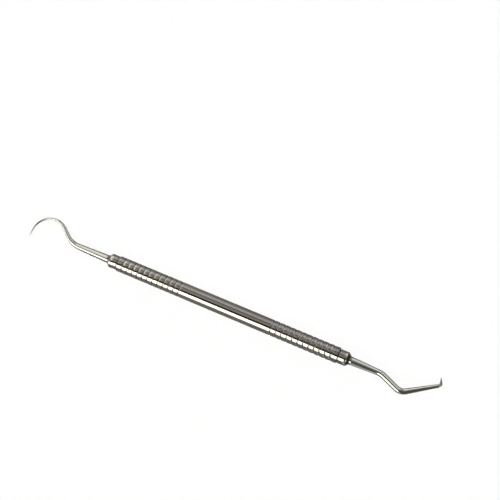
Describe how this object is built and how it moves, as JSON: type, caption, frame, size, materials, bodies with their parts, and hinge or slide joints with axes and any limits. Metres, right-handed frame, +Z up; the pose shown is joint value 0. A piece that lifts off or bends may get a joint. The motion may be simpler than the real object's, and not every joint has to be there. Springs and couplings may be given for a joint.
{
  "type": "double-ended dental explorer",
  "caption": "Slim dental hand explorer: round ring-grooved steel handle with a shepherd's-hook point at one end and an angled shank with a short right-angled point at the other.",
  "frame": {"origin": "middle of the instrument's outline on the surface that it lies on", "axes": "+X runs down the handle to the angled end, the hook end is at -X, +Z is up from the surface that the instrument lies on, and both points lean towards it"},
  "size_m": [0.1678, 0.0104, 0.006],
  "materials": {
    "handle_steel": "polished",
    "ferrule_steel": "polished",
    "tip_steel": "polished"
  },
  "bodies": {
    "root": {"handle_tube": "handle_steel", "hook_end_ferrule": "ferrule_steel", "angled_end_ferrule": "ferrule_steel", "hook_working_end": "tip_steel", "angled_working_end": "tip_steel"}
  },
  "joints": []
}
